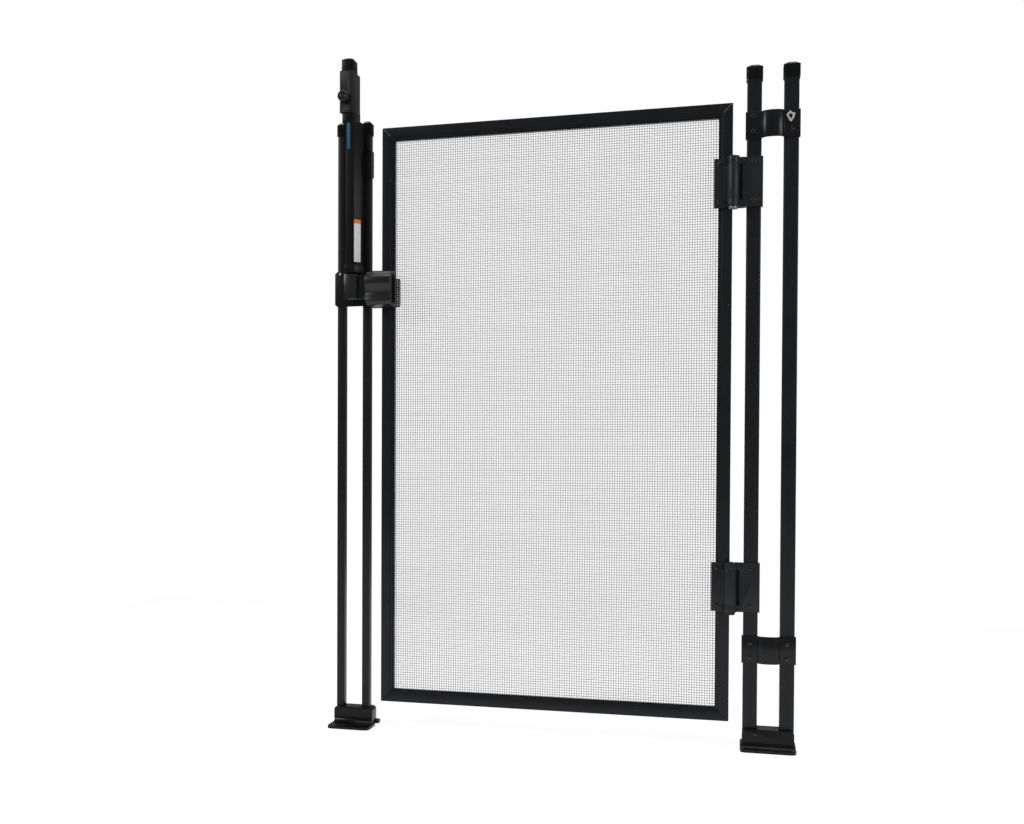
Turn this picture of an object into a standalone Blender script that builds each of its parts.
"""Safety gate for a removable mesh fence: two post pairs, a mesh gate, spring hinges and a lift latch.

X runs along the gate from the latch side to the hinge side, Y from front to back, Z up.
Lengths below are millimetres along the assembly; they become metres when a piece is made.
"""
import math

import bmesh
import bpy

MM = 0.001
CENTRE_X, CENTRE_Y = 429.0, -5.0
GAP = 0.3

# posts and caps: (left face, width, depth, height)
LATCH_POSTS = (0.0, 51.4)
LATCH_POST_W, LATCH_POST_D, LATCH_POST_H = 15.3, 18.4, 1171.0
HINGE_POSTS = (769.0, 832.3)
HINGE_POST_W, HINGE_POST_D, HINGE_POST_H = 25.4, 25.4, 1219.0
POST_WALL, POST_CORNER = 1.6, 2.6
CAP_SKIRT, CAP_WALL = 26.0, 1.7

# gate frame and screen
GATE_X0, GATE_X1 = 91.0, 745.0
GATE_Z0, GATE_Z1 = 48.8, 1153.8
GATE_FACE, GATE_DEPTH, GATE_FRONT = 23.6, 19.0, -9.8
FRAME_WALL, FRAME_CORNER = 1.6, 1.0
LIP_X, LIP_Y = 17.4, -7.2
GROOVE_DEPTH, GROOVE_Y0, GROOVE_Y1 = 6.0, -4.6, 0.8
MESH_Y, MESH_THICK, MESH_INTO = -1.9, 1.0, 4.0

# hinges
PIVOT_X, PIVOT_Y = 746.5, -23.0
BARREL_R, BARREL_BORE, PIN_R, PIN_BORE = 10.5, 8.2, 3.6, 4.0
HINGE_H, COLLAR_H, ADJUSTER_H = 88.0, 12.5, 4.5
LEAF_START = 762.0
HINGE_BOTTOMS = {"lower": 247.0, "upper": 967.0}

# latch
ROD_X, ROD_Y, ROD_R, ROD_BORE = 37.0, -30.0, 2.8, 3.4
BODY = (29.3, 49.2, -48.0, 6.5, 889.3, 1160.0)
COLLAR = (27.2, 50.9, -49.0, 5.0, 873.0, 889.0)
WING_REACH, WING_SLOPE, WING_BACK = 8.3, 11.0, -14.0
NECK = (21.3, 44.2, -46.0, -0.5, 1160.3, 1177.4)
HOUSING = (16.8, 44.2, -48.0, -2.0, 1177.7, 1257.0)
HOUSING_RISE = 7.0
KNOB = (19.4, 43.6, -46.0, -15.0, 1258.0, 1283.5)
LOCK_X, LOCK_Z, LOCK_R, LOCK_FRONT = 29.0, 1204.5, 10.0, -66.0
TONGUE = (26.0, 52.0, -48.0, -13.0, 823.5, 870.5)
HOOD_X0, HOOD_X1, HOOD_Z0, HOOD_Z1, HOOD_FRONT = 69.0, 119.5, 808.5, 877.5, -52.0
ROD_TIP_Z = 859.3

# feet: latch side then hinge side
FOOT_LONG, FOOT_SHORT, FOOT_PLATE, FOOT_FILLET = 56.0, 32.0, 5.0, 11.0
NOTCH_HALF = 10.0
FEET = {
    "latch": (-4.0, 80.0, -2.8, 74.5, 35.0),
    "hinge": (765.0, 862.0, 768.5, 858.2, 39.0),
}

MATERIALS = {
    "black_paint": ((0.010, 0.010, 0.011), 0.42, 0.0),
    "black_plastic": ((0.013, 0.013, 0.014), 0.5, 0.0),
    "satin_plastic": ((0.035, 0.036, 0.039), 0.45, 0.0),
    "soft_grey_hood": ((0.055, 0.056, 0.06), 0.5, 0.0),
    "mesh_weave": ((0.02, 0.02, 0.02), 0.8, 0.0),
    "bright_steel": ((0.62, 0.62, 0.6), 0.28, 1.0),
    "black_steel": ((0.03, 0.03, 0.032), 0.35, 0.8),
}


def clear_scene():
    for obj in list(bpy.data.objects):
        bpy.data.objects.remove(obj, do_unlink=True)


clear_scene()
GATE_ROOM = bpy.data.collections.new("safety_baby_gate")
bpy.context.scene.collection.children.link(GATE_ROOM)
CUTTERS = bpy.data.collections.new("cutters")
bpy.context.scene.collection.children.link(CUTTERS)


def material(name):
    found = bpy.data.materials.get(name)
    if found:
        return found
    colour, rough, metal = MATERIALS[name]
    made = bpy.data.materials.new(name)
    made.use_nodes = True
    bsdf = made.node_tree.nodes["Principled BSDF"]
    bsdf.inputs["Base Color"].default_value = (*colour, 1.0)
    bsdf.inputs["Roughness"].default_value = rough
    bsdf.inputs["Metallic"].default_value = metal
    return made


def to_world(x, y, z):
    return ((x - CENTRE_X) * MM, (y - CENTRE_Y) * MM, z * MM)


def store(bm, name, mat, pivot=None, smooth=False):
    """Turn a closed bmesh in gate millimetres into a named object with its origin on the pivot."""
    base = to_world(*pivot) if pivot else (0.0, 0.0, 0.0)
    for vert in bm.verts:
        world = to_world(*vert.co)
        vert.co = [world[i] - base[i] for i in range(3)]
    bmesh.ops.remove_doubles(bm, verts=bm.verts, dist=1e-6)
    bmesh.ops.recalc_face_normals(bm, faces=bm.faces)
    mesh = bpy.data.meshes.new(name)
    bm.to_mesh(mesh)
    bm.free()
    obj = bpy.data.objects.new(name, mesh)
    obj.location = base
    GATE_ROOM.objects.link(obj)
    mesh.materials.append(material(mat))
    if smooth:
        for poly in mesh.polygons:
            poly.use_smooth = True
    return obj


def rounded_loop(x0, x1, y0, y1, radius, steps=2):
    """Corner-rounded rectangle as a counter-clockwise list of points."""
    points = []
    corners = ((x1 - radius, y0 + radius, -90), (x1 - radius, y1 - radius, 0),
               (x0 + radius, y1 - radius, 90), (x0 + radius, y0 + radius, 180))
    for cx, cy, start in corners:
        for step in range(steps + 1):
            angle = math.radians(start + 90.0 * step / steps)
            points.append((cx + radius * math.cos(angle), cy + radius * math.sin(angle)))
    return points


def circle_loop(cx, cy, radius, count=24):
    return [(cx + radius * math.cos(math.tau * i / count), cy + radius * math.sin(math.tau * i / count))
            for i in range(count)]


def ribbon_loop(points, thick):
    """Closed outline of a bent strip whose left-hand side is offset from the given line."""
    def normal(a, b):
        dx, dy = b[0] - a[0], b[1] - a[1]
        size = math.hypot(dx, dy)
        return (-dy / size, dx / size)

    far = []
    for i, (x, y) in enumerate(points):
        before = normal(points[i - 1], points[i]) if i else None
        after = normal(points[i], points[i + 1]) if i + 1 < len(points) else None
        if before and after:
            mx, my = before[0] + after[0], before[1] + after[1]
            scale = 2.0 / (mx * mx + my * my)
            far.append((x + mx * scale * thick, y + my * scale * thick))
        else:
            nx, ny = before or after
            far.append((x + nx * thick, y + ny * thick))
    return points + far[::-1]


def extruded(loops, low, high, axis="Z"):
    """Closed solid from one outline and its holes, extruded along an axis between two heights."""
    curve = bpy.data.curves.new("outline", "CURVE")
    curve.dimensions = "2D"
    curve.fill_mode = "BOTH"
    curve.extrude = (high - low) / 2.0
    for loop in loops:
        spline = curve.splines.new("POLY")
        spline.points.add(len(loop) - 1)
        for point, (x, y) in zip(spline.points, loop):
            point.co = (x, y, 0.0, 1.0)
        spline.use_cyclic_u = True
    holder = bpy.data.objects.new("outline", curve)
    CUTTERS.objects.link(holder)
    depsgraph = bpy.context.evaluated_depsgraph_get()
    mesh = bpy.data.meshes.new_from_object(holder.evaluated_get(depsgraph))
    bm = bmesh.new()
    bm.from_mesh(mesh)
    bmesh.ops.remove_doubles(bm, verts=bm.verts, dist=1e-4)
    middle = (low + high) / 2.0
    for vert in bm.verts:
        x, y, z = vert.co
        if axis == "Z":
            vert.co = (x, y, z + middle)
        elif axis == "X":
            vert.co = (z + middle, x, y)
        else:
            vert.co = (x, z + middle, y)
    bpy.data.objects.remove(holder, do_unlink=True)
    bpy.data.meshes.remove(mesh)
    bmesh.ops.recalc_face_normals(bm, faces=bm.faces)
    return bm


def block(x0, x1, y0, y1, z0, z1, radius=0.0):
    loop = rounded_loop(x0, x1, y0, y1, radius) if radius else [(x0, y0), (x1, y0), (x1, y1), (x0, y1)]
    return extruded([loop], z0, z1)


def turned(profile, cx, cy, count=24):
    """Solid of revolution about the vertical line through cx, cy from (radius, z) points."""
    bm = bmesh.new()
    rings = []
    for radius, z in profile:
        if radius < 1e-6:
            rings.append([bm.verts.new((cx, cy, z))])
        else:
            rings.append([bm.verts.new((x, y, z)) for x, y in circle_loop(cx, cy, radius, count)])
    for a, b in zip(rings, rings[1:]):
        for i in range(count):
            j = (i + 1) % count
            ring = [a[i % len(a)], a[j % len(a)], b[j % len(b)], b[i % len(b)]]
            corners = list(dict.fromkeys(ring))
            if len(corners) > 2:
                bm.faces.new(corners)
    for end in (rings[0], rings[-1]):
        if len(end) > 1:
            bm.faces.new(end)
    bmesh.ops.recalc_face_normals(bm, faces=bm.faces)
    return bm


def laid_forward(bm, cx, cz):
    """Turn a solid made about the vertical origin so that its own +Z points to -Y at cx, cz."""
    for vert in bm.verts:
        x, y, z = vert.co
        vert.co = (cx + x, -z, cz + y)
    return bm


def combine(base, tool, operation):
    """Boolean of two closed bmeshes with the exact solver."""
    objects = []
    for bm in (base, tool):
        mesh = bpy.data.meshes.new("work")
        bm.to_mesh(mesh)
        bm.free()
        obj = bpy.data.objects.new("work", mesh)
        obj.hide_render = True
        obj.display_type = "WIRE"
        CUTTERS.objects.link(obj)
        objects.append(obj)
    modifier = objects[0].modifiers.new("join", "BOOLEAN")
    modifier.operation = operation
    modifier.solver = "EXACT"
    modifier.object = objects[1]
    depsgraph = bpy.context.evaluated_depsgraph_get()
    mesh = bpy.data.meshes.new_from_object(objects[0].evaluated_get(depsgraph))
    bm = bmesh.new()
    bm.from_mesh(mesh)
    bmesh.ops.remove_doubles(bm, verts=bm.verts, dist=1e-3)
    bmesh.ops.dissolve_degenerate(bm, edges=bm.edges, dist=1e-3)
    for obj in objects:
        bpy.data.objects.remove(obj, do_unlink=True)
    return bm


def joined(first, *others):
    for other in others:
        first = combine(first, other, "UNION")
    return first


def cut(first, *tools):
    for tool in tools:
        first = combine(first, tool, "DIFFERENCE")
    return first


def posts():
    groups = (("latch", LATCH_POSTS, LATCH_POST_W, LATCH_POST_D, LATCH_POST_H, ("outer", "inner")),
              ("hinge", HINGE_POSTS, HINGE_POST_W, HINGE_POST_D, HINGE_POST_H, ("inner", "outer")))
    for side, lefts, wide, deep, high, places in groups:
        for left, place in zip(lefts, places):
            outer = rounded_loop(left, left + wide, -deep / 2, deep / 2, POST_CORNER)
            inner = rounded_loop(left + POST_WALL, left + wide - POST_WALL, -deep / 2 + POST_WALL,
                                 deep / 2 - POST_WALL, POST_CORNER - POST_WALL)
            tube = extruded([outer, inner], FOOT_PLATE + GAP, high - 6.0)
            store(tube, f"post_{side}_{place}", "black_paint")
            store(post_cap(left, wide, deep, high), f"cap_{side}_{place}", "black_plastic")


def post_cap(left, wide, deep, high):
    """Push-on cap: a skirt round the post top under a low pyramid."""
    x0, x1 = left - CAP_WALL, left + wide + CAP_WALL
    y0, y1 = -deep / 2 - CAP_WALL, deep / 2 + CAP_WALL
    bm = block(x0, x1, y0, y1, high - CAP_SKIRT, high, POST_CORNER + 1.0)
    cx, cy = (x0 + x1) / 2, (y0 + y1) / 2
    top = [f for f in bm.faces if f.normal.z > 0.9]
    bmesh.ops.inset_region(bm, faces=top, thickness=1.5, use_even_offset=True)
    for vert in bm.verts:
        rim = max(abs(vert.co.x - cx) / (x1 - cx), abs(vert.co.y - cy) / (y1 - cy))
        if vert.co.z > high - 0.1 and rim > 0.98:
            vert.co.z = high - 5.0
        elif vert.co.z > high - 0.1:
            vert.co.x = cx + (vert.co.x - cx) * 0.45
            vert.co.y = cy + (vert.co.y - cy) * 0.45
    socket = block(left - GAP, left + wide + GAP, -deep / 2 - GAP, deep / 2 + GAP,
                   high - CAP_SKIRT - 2.0, high - 5.6, POST_CORNER)
    return cut(bm, socket)


def feet():
    for side, (x0, x1, ux0, ux1, high) in FEET.items():
        front, back = (-FOOT_LONG, FOOT_SHORT) if side == "latch" else (-FOOT_SHORT, FOOT_LONG)
        deep = (LATCH_POST_D if side == "latch" else HINGE_POST_D) / 2
        wall = deep + 5.0
        flange = block(x0, x1, front, back, 0.0, FOOT_PLATE, 9.0)
        outline = rounded_loop(ux0, ux1, 2.0, high, 7.0, 4)
        socket_wall = extruded([outline], -wall, wall, "Y")
        fillets = []
        for sign in (-1, 1):
            corner = [(sign * (wall - 1.0), 2.0), (sign * (wall + FOOT_FILLET), 2.0)]
            for step in range(6):
                angle = math.radians(90.0 * step / 5)
                corner.append((sign * (wall + FOOT_FILLET * (1 - math.sin(angle))),
                               FOOT_PLATE + FOOT_FILLET * (1 - math.cos(angle))))
            corner.append((sign * (wall - 1.0), FOOT_PLATE + FOOT_FILLET))
            fillets.append(extruded([corner], ux0 + 1.0, ux1 - 1.0, "X"))
        notches = [block(low, low + NOTCH_HALF, -NOTCH_HALF, NOTCH_HALF, -1.0, FOOT_PLATE + 1.0)
                   for low in (ux0 - GAP - NOTCH_HALF, ux1 + GAP)]
        foot = cut(joined(flange, socket_wall, *fillets), *notches)
        lefts, wide = (LATCH_POSTS, LATCH_POST_W) if side == "latch" else (HINGE_POSTS, HINGE_POST_W)
        sockets = [block(left - GAP, left + wide + GAP, -deep - GAP, deep + GAP, FOOT_PLATE, high + 2.0,
                         POST_CORNER) for left in lefts]
        store(cut(foot, *sockets), f"foot_{side}", "black_paint")
    screw("foot_screw", 791.0, -HINGE_POST_D / 2 - 5.0, 30.5, 3.4, "black_steel")


def screw(name, x, face_y, z, radius, mat, height=1.6, pivot=None):
    """Pan-head screw with a cross recess hint, pointing forward from the face it holds."""
    y = -face_y + GAP * 0.2
    profile = [(radius, 0.0), (radius, height * 0.45), (radius * 0.72, height),
               (radius * 0.34, height), (radius * 0.3, height * 0.45), (0.0, height * 0.45)]
    head = turned([(r, d + y) for r, d in profile], 0.0, 0.0, 16)
    return store(laid_forward(head, x, z), name, mat, pivot)


def link_straps():
    """Two straps hold the hinge-side posts together, bowed forward between them."""
    face = -HINGE_POST_D / 2 - GAP
    left, right = HINGE_POSTS[0] - GAP, HINGE_POSTS[1] + HINGE_POST_W + GAP
    bow0, bow1 = HINGE_POSTS[0] + HINGE_POST_W + 1.5, HINGE_POSTS[1] - 1.5
    half = (bow1 - bow0) / 2
    line = [(left, -2.0), (left, face), (bow0, face)]
    for step in range(1, 10):
        angle = math.pi * step / 10
        line.append((bow0 + half - half * math.cos(angle), face - 8.0 * math.sin(angle)))
    line += [(bow1, face), (right, face), (right, -2.0)]
    for place, z0, z1 in (("upper", 1086.4, 1133.6), ("lower", 156.4, 205.2)):
        strap = extruded([ribbon_loop(line, -2.0)], z0, z1)
        store(strap, f"link_strap_{place}", "satin_plastic")
    front = face - 2.0
    for name, x, z in (("a", 780.0, 1125.8), ("b", 780.0, 1099.0), ("c", 844.8, 1098.8)):
        screw(f"strap_screw_upper_{name}", x, front, z, 3.6, "black_steel")
    for name, x, z in (("a", 781.0, 191.6), ("b", 781.0, 166.0), ("c", 844.6, 192.0), ("d", 844.6, 166.0)):
        screw(f"strap_screw_lower_{name}", x, front, z, 3.6, "black_steel")
    ring = [(835.6, 1123.5), (842.5, 1130.5), (846.0, 1127.0), (850.8, 1126.0), (849.0, 1118.5),
            (844.6, 1111.5), (842.2, 1111.5)]
    hole = [(839.2, 1122.6), (842.6, 1126.2), (847.0, 1122.4), (844.2, 1116.0)]
    eye = extruded([ring, hole], front - 3.4, front - 0.2, "Y")
    store(eye, "link_eye", "bright_steel")


def frame_bar(length):
    """One hollow frame bar along Z: set-back inner lip, screen groove facing +X, both ends mitred."""
    y0, y1 = GATE_FRONT, GATE_FRONT + GATE_DEPTH
    groove_x = GATE_FACE - GROOVE_DEPTH
    outer = rounded_loop(0.0, GATE_FACE, y0, y1, FRAME_CORNER)[3:]
    outer += [(LIP_X, y0), (LIP_X, LIP_Y), (GATE_FACE, LIP_Y), (GATE_FACE, GROOVE_Y0), (groove_x, GROOVE_Y0),
              (groove_x, GROOVE_Y1), (GATE_FACE, GROOVE_Y1)]
    x0, x1 = FRAME_WALL, LIP_X - FRAME_WALL
    inner = [(x0, y0 + FRAME_WALL), (x1, y0 + FRAME_WALL), (x1, y1 - FRAME_WALL), (x0, y1 - FRAME_WALL)]
    bm = extruded([outer, inner], 0.0, length)
    for vert in bm.verts:
        inset = vert.co.x + GAP * 0.5
        vert.co.z = inset if vert.co.z < length / 2 else length - inset
    return bm


def gate_frame():
    tall, wide = GATE_Z1 - GATE_Z0, GATE_X1 - GATE_X0
    pivot = (PIVOT_X, PIVOT_Y, 0.0)
    places = (("stile_latch", tall, lambda x, z: (GATE_X0 + x, GATE_Z0 + z)),
              ("stile_hinge", tall, lambda x, z: (GATE_X1 - x, GATE_Z0 + z)),
              ("rail_bottom", wide, lambda x, z: (GATE_X0 + z, GATE_Z0 + x)),
              ("rail_top", wide, lambda x, z: (GATE_X0 + z, GATE_Z1 - x)))
    for name, length, place in places:
        bar = frame_bar(length)
        for vert in bar.verts:
            x, z = place(vert.co.x, vert.co.z)
            vert.co = (x, vert.co.y, z)
        store(bar, f"gate_{name}", "black_paint", pivot)
    edge = GATE_FACE - MESH_INTO
    screen = block(GATE_X0 + edge, GATE_X1 - edge, MESH_Y - MESH_THICK / 2, MESH_Y + MESH_THICK / 2,
                   GATE_Z0 + edge, GATE_Z1 - edge)
    store(screen, "mesh_screen", "mesh_weave", pivot)


def hinges():
    """Spring hinges: the gate leaf carries the barrel, the post leaf the two end collars."""
    for place, bottom in HINGE_BOTTOMS.items():
        top = bottom + HINGE_H
        z0, z1 = bottom + COLLAR_H, top - COLLAR_H
        pivot = (PIVOT_X, PIVOT_Y, bottom)
        face = GATE_FRONT - GAP
        leaf = block(713.0, 733.2, face - 3.2, face, bottom, top, 0.0)
        arm = block(731.0, PIVOT_X - 1.0, face - 4.2, face, z0 + GAP, z1 - GAP)
        barrel = turned([(BARREL_R, z0 + GAP), (BARREL_R, z1 - GAP)], PIVOT_X, PIVOT_Y)
        bore = turned([(BARREL_BORE, z0 - 5.0), (BARREL_BORE, z1 + 5.0)], PIVOT_X, PIVOT_Y)
        store(cut(joined(leaf, arm, barrel), bore), f"hinge_gate_leaf_{place}", "satin_plastic", pivot)

        front = -HINGE_POST_D / 2 - GAP
        line = [(LEAF_START, front), (HINGE_POSTS[0] + HINGE_POST_W + GAP, front),
                (HINGE_POSTS[0] + HINGE_POST_W + GAP, -3.0)]
        solid = extruded([ribbon_loop(line, -2.6)], bottom, top)
        for low, high in ((bottom, z0), (z1, top)):
            collar = turned([(BARREL_R, low), (BARREL_R, high)], PIVOT_X, PIVOT_Y)
            arm = block(PIVOT_X, LEAF_START + 2.0, front - 3.8, front, low, high)
            solid = joined(solid, collar, arm)
        web = block(750.4, 768.4, front + 6.0, front + 9.0, bottom, top)
        rib = block(LEAF_START + 0.6, 768.4, front - 2.0, front + 7.0, bottom, top)
        solid = joined(solid, web, rib)
        bore = turned([(PIN_BORE, bottom - 5.0), (PIN_BORE, top + 5.0)], PIVOT_X, PIVOT_Y)
        store(cut(solid, bore), f"hinge_post_leaf_{place}", "satin_plastic")

        pin = turned([(PIN_R, bottom + GAP), (PIN_R, top + GAP), (PIN_R + 1.6, top + GAP),
                      (PIN_R + 1.6, top + 1.2), (PIN_R, top + 2.0)], PIVOT_X, PIVOT_Y)
        store(pin, f"hinge_pin_{place}", "black_steel", pivot)
        adjuster = turned([(7.6, bottom - ADJUSTER_H), (8.4, bottom - ADJUSTER_H + 0.8), (8.4, bottom - GAP)],
                          PIVOT_X, PIVOT_Y)
        slot = block(PIVOT_X - 5.5, PIVOT_X + 5.5, PIVOT_Y - 0.9, PIVOT_Y + 0.9, bottom - 8.0, bottom - 3.0)
        metal = "bright_steel" if place == "upper" else "black_steel"
        store(cut(adjuster, slot), f"tension_adjuster_{place}", metal, pivot)
        coil(f"hinge_spring_{place}", PIVOT_X, PIVOT_Y, 6.0, 0.8, z0 + 3.0, z1 - 3.0, 6)

        for level, z in (("high", top - 10.0), ("low", bottom + 11.0)):
            screw(f"gate_leaf_screw_{place}_{level}", 722.9, face - 3.2, z, 3.4, "black_steel", 1.6, pivot)
            screw(f"post_leaf_screw_{place}_{level}", 781.0, front - 2.6, z, 3.4, "black_steel")


def coil(name, cx, cy, radius, wire, low, high, turns):
    """Closed helical spring of round wire."""
    curve = bpy.data.curves.new(name, "CURVE")
    curve.dimensions = "3D"
    curve.bevel_depth = wire
    curve.bevel_resolution = 1
    curve.use_fill_caps = True
    steps = turns * 12
    spline = curve.splines.new("POLY")
    spline.points.add(steps)
    for i, point in enumerate(spline.points):
        angle = math.tau * i / 12
        point.co = (cx + radius * math.cos(angle), cy + radius * math.sin(angle),
                    low + (high - low) * i / steps, 1.0)
    holder = bpy.data.objects.new(name, curve)
    CUTTERS.objects.link(holder)
    depsgraph = bpy.context.evaluated_depsgraph_get()
    mesh = bpy.data.meshes.new_from_object(holder.evaluated_get(depsgraph))
    bm = bmesh.new()
    bm.from_mesh(mesh)
    bmesh.ops.remove_doubles(bm, verts=bm.verts, dist=1e-3)
    bpy.data.objects.remove(holder, do_unlink=True)
    store(bm, name, "bright_steel", (cx, cy, low), True)


def rod_bore(low, high):
    return turned([(ROD_BORE, low), (ROD_BORE, high)], ROD_X, ROD_Y)


def winged_block(x0, x1, y0, y1, z0, z1):
    """Upright moulding whose right side swells forward into an oblique face in front of the inner post."""
    edge = 2.0
    wing_x = x1 + WING_REACH
    loop = [(x0 + edge, y0), (wing_x - WING_SLOPE, y0), (wing_x, y0 + WING_SLOPE), (wing_x, WING_BACK),
            (x1, WING_BACK), (x1, y1), (x0, y1), (x0, y0 + edge)]
    return extruded([loop], z0, z1)


def latch_column():
    """Fixed latch parts between the slim posts: sleeve, collar, neck and lock housing."""
    x0, x1, y0, y1, z0, z1 = BODY
    sleeve = winged_block(*BODY)
    hollow = block(x0 + 2.0, x1 - 2.0, y0 + 2.0, y1 - 2.0, z0 - 2.0, z1 - 4.0)
    store(cut(sleeve, hollow, rod_bore(z1 - 8.0, z1 + 2.0)), "latch_sleeve", "black_plastic")
    collar = cut(winged_block(*COLLAR), rod_bore(COLLAR[4] - 2.0, COLLAR[5] + 2.0))
    store(collar, "latch_collar", "black_plastic")
    neck = block(*NECK, 3.0)
    for vert in neck.verts:
        if vert.co.z > NECK[5] - 0.1:
            vert.co.z += HOUSING_RISE * (vert.co.y - HOUSING[2]) / (HOUSING[3] - HOUSING[2])
    store(cut(neck, rod_bore(NECK[4] - 2.0, NECK[5] + 10.0)), "latch_neck", "black_plastic")

    x0, x1, y0, y1, z0, z1 = HOUSING
    housing = block(*HOUSING, 3.0)
    for vert in housing.verts:
        if vert.co.z < z0 + 0.1:
            vert.co.z = z0 + HOUSING_RISE * (vert.co.y - y0) / (y1 - y0)
    strip = extruded([rounded_loop(x1 - 10.5, x1 - 1.5, z0 + 3.0, z1 - 3.0, 3.0)], y0 - 1.4, y0 + 1.0, "Y")
    seat = laid_forward(turned([(LOCK_R + GAP, 34.6), (LOCK_R + GAP, 60.0)], 0.0, 0.0), LOCK_X, LOCK_Z)
    store(cut(joined(housing, strip), seat, rod_bore(z0 - 2.0, z1 + 2.0)), "lock_housing", "black_plastic")

    key_bore = laid_forward(turned([(5.2, 38.0), (5.2, 70.0)], 0.0, 0.0), LOCK_X, LOCK_Z)
    barrel = laid_forward(turned([(LOCK_R, 34.9), (LOCK_R, -LOCK_FRONT - 1.2), (LOCK_R - 1.2, -LOCK_FRONT)],
                                 0.0, 0.0), LOCK_X, LOCK_Z)
    store(cut(barrel, key_bore), "lock_barrel", "black_steel", None)
    plug = laid_forward(turned([(4.9, 38.3), (4.9, -LOCK_FRONT - 0.4)], 0.0, 0.0), LOCK_X, LOCK_Z)
    keyway = block(LOCK_X - 0.8, LOCK_X + 0.8, LOCK_FRONT - 2.0, LOCK_FRONT + 6.0, LOCK_Z - 3.2, LOCK_Z + 3.2)
    store(cut(plug, keyway), "key_plug", "black_steel", (LOCK_X, -48.0, LOCK_Z))


def release():
    """Lift knob, the rod that is also the bolt, and its return spring."""
    pivot = (ROD_X, ROD_Y, KNOB[4])
    knob = block(*KNOB, 3.6)
    for vert in knob.verts:
        if vert.co.z > KNOB[5] - 0.1:
            cx, cy = (KNOB[0] + KNOB[1]) / 2, (KNOB[2] + KNOB[3]) / 2
            vert.co.x = cx + (vert.co.x - cx) * 0.97
            vert.co.y = cy + (vert.co.y - cy) * 0.97
    socket = turned([(ROD_R + GAP, KNOB[4] - 2.0), (ROD_R + GAP, KNOB[4] + 14.0)], ROD_X, ROD_Y)
    store(cut(knob, socket), "release_knob", "black_plastic", pivot)
    rod = turned([(ROD_R - 0.8, ROD_TIP_Z), (ROD_R, ROD_TIP_Z + 2.0), (ROD_R, 1055.0), (5.4, 1055.0),
                  (5.4, 1058.0), (ROD_R, 1058.0), (ROD_R, KNOB[4] + 13.5)], ROD_X, ROD_Y, 16)
    store(rod, "release_rod", "bright_steel", pivot)
    coil("release_spring", ROD_X, ROD_Y, 4.4, 0.6, 1059.2, 1155.0, 10)


def latch_brackets():
    face = -LATCH_POST_D / 2 - GAP
    outline = [(-4.0, 817.5), (0.0, 813.5), (58.0, 813.5), (62.0, 817.5), (62.0, 872.4), (26.6, 872.4),
               (26.6, 878.0), (23.6, 881.0), (0.0, 881.0), (-4.0, 877.0)]
    plate = extruded([outline], face - 2.6, face, "Y")
    wrap = block(-3.9, -GAP, face - 1.5, 4.0, 820.0, 866.0)
    store(joined(plate, wrap), "latch_post_plate", "black_plastic")
    screw("post_plate_screw", 7.2, face - 2.6, 876.6, 2.2, "bright_steel", 1.4)

    finger = [(51.8, 1062.0), (69.8, 1062.0), (69.8, 1113.0), (65.0, 1113.0), (62.8, 1110.0), (60.4, 1131.0),
              (57.0, 1131.0), (54.4, 1119.0), (51.8, 1116.0)]
    clip = extruded([finger], face - 3.0, face, "Y")
    wrap = block(67.0, 69.7, face - 1.0, 5.0, 1062.5, 1112.5)
    reach = block(49.5, 55.0, face - 3.0, face, 1066.0, 1108.0)
    store(joined(clip, wrap, reach), "latch_upper_clip", "satin_plastic")
    screw("clip_screw", 65.2, face - 3.0, 1083.0, 2.6, "black_steel", 1.4)


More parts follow.
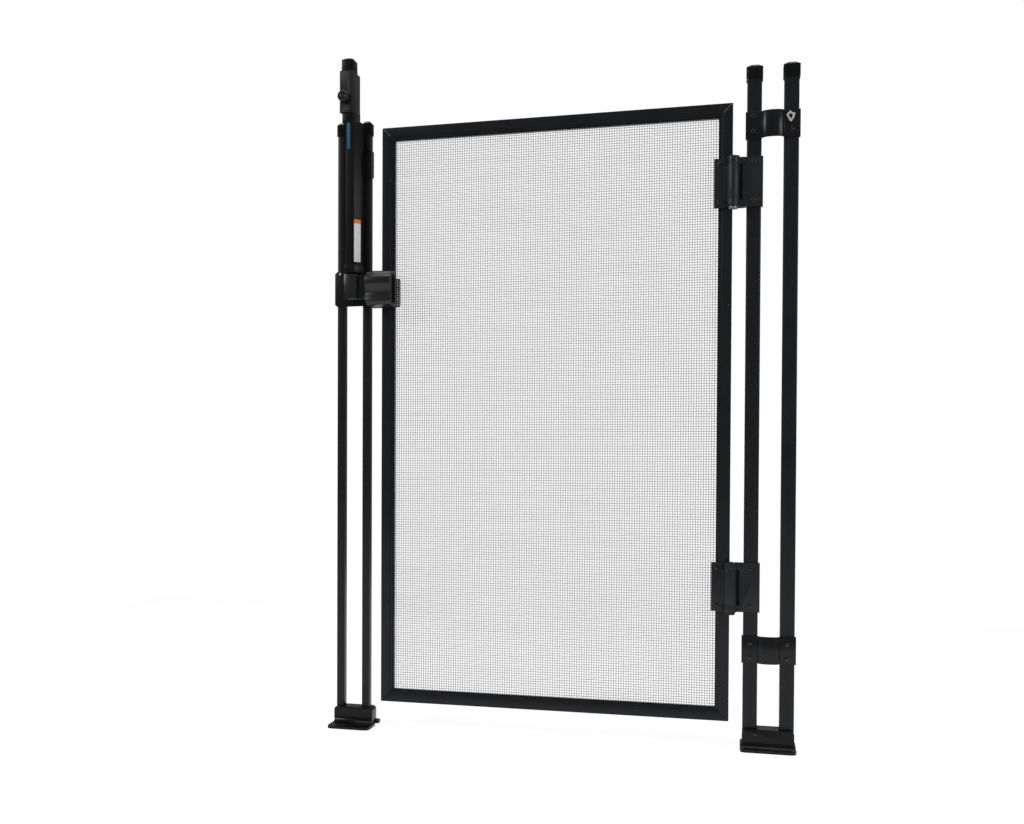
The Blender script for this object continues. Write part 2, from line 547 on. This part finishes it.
def striker():
    """Gate-side striker: the bolt pocket, its neck and the grooved hood over the stile."""
    pivot = (PIVOT_X, PIVOT_Y, HOOD_Z0)
    back = GATE_FRONT - GAP
    front = HOOD_FRONT
    side = [(back, HOOD_Z0), (-38.0, HOOD_Z0), (front + 6.0, HOOD_Z0 + 3.0), (front + 3.0, HOOD_Z0 + 9.0),
            (front + 3.5, HOOD_Z0 + 15.0), (front + 7.0, HOOD_Z0 + 21.0), (front + 8.0, HOOD_Z0 + 26.0),
            (front + 5.5, HOOD_Z0 + 34.0), (front + 1.5, HOOD_Z0 + 41.0), (front, HOOD_Z0 + 48.0),
            (front + 1.5, HOOD_Z0 + 54.5), (front + 3.5, HOOD_Z0 + 56.0), (front + 4.5, HOOD_Z0 + 58.0),
            (front + 9.0, HOOD_Z1 - 4.0), (front + 17.0, HOOD_Z1 - 0.8), (back - 6.0, HOOD_Z1),
            (back, HOOD_Z1)]
    hood = extruded([side], HOOD_X0, HOOD_X1, "X")
    swept = ((-2.0, -2.0), (7.0, -2.0), (3.6, 3.0), (1.2, 8.0), (0.0, 14.0), (-2.0, 14.0))
    for edge_z, inward in ((HOOD_Z0, 1), (HOOD_Z1, -1)):
        corner = [(HOOD_X0 + dx, edge_z + inward * dz) for dx, dz in swept]
        hood = cut(hood, extruded([corner], front - 4.0, back + 4.0, "Y"))
    recess = extruded([rounded_loop(front + 12.0, back - 6.0, HOOD_Z0 + 7.0, HOOD_Z1 - 8.0, 5.0, 3)],
                      HOOD_X1 - 26.0, HOOD_X1 + 2.0, "X")
    hood = cut(hood, recess)
    neck = block(TONGUE[1] - 6.0, HOOD_X0 + 2.0, -34.0, TONGUE[3] - 0.2, TONGUE[4] + 1.0, TONGUE[5] - 1.0)
    tongue = block(*TONGUE, 2.4)
    pocket = block(ROD_X - 5.0, ROD_X + 5.0, ROD_Y - 5.0, TONGUE[3] + 2.0, ROD_TIP_Z - 3.0, TONGUE[5] + 2.0)
    store(cut(joined(hood, neck, tongue), pocket), "striker_hood", "soft_grey_hood", pivot)

    rear = GATE_FRONT + GATE_DEPTH + GAP
    loop = rounded_loop(GATE_X0 + 1.0, 122.0, 812.0, 868.0, 5.0, 3)
    clamp = extruded([loop], rear, rear + 4.0, "Y")
    ribs = [block(115.4, 121.0, rear - 8.0, rear + 1.0, z, z + 3.0) for z in (822.0, 832.0, 842.0, 852.0)]
    store(joined(clamp, *ribs), "striker_rear_clamp", "black_plastic", pivot)


posts()
feet()
link_straps()
gate_frame()
hinges()
latch_column()
release()
latch_brackets()
striker()
bpy.data.collections.remove(CUTTERS)
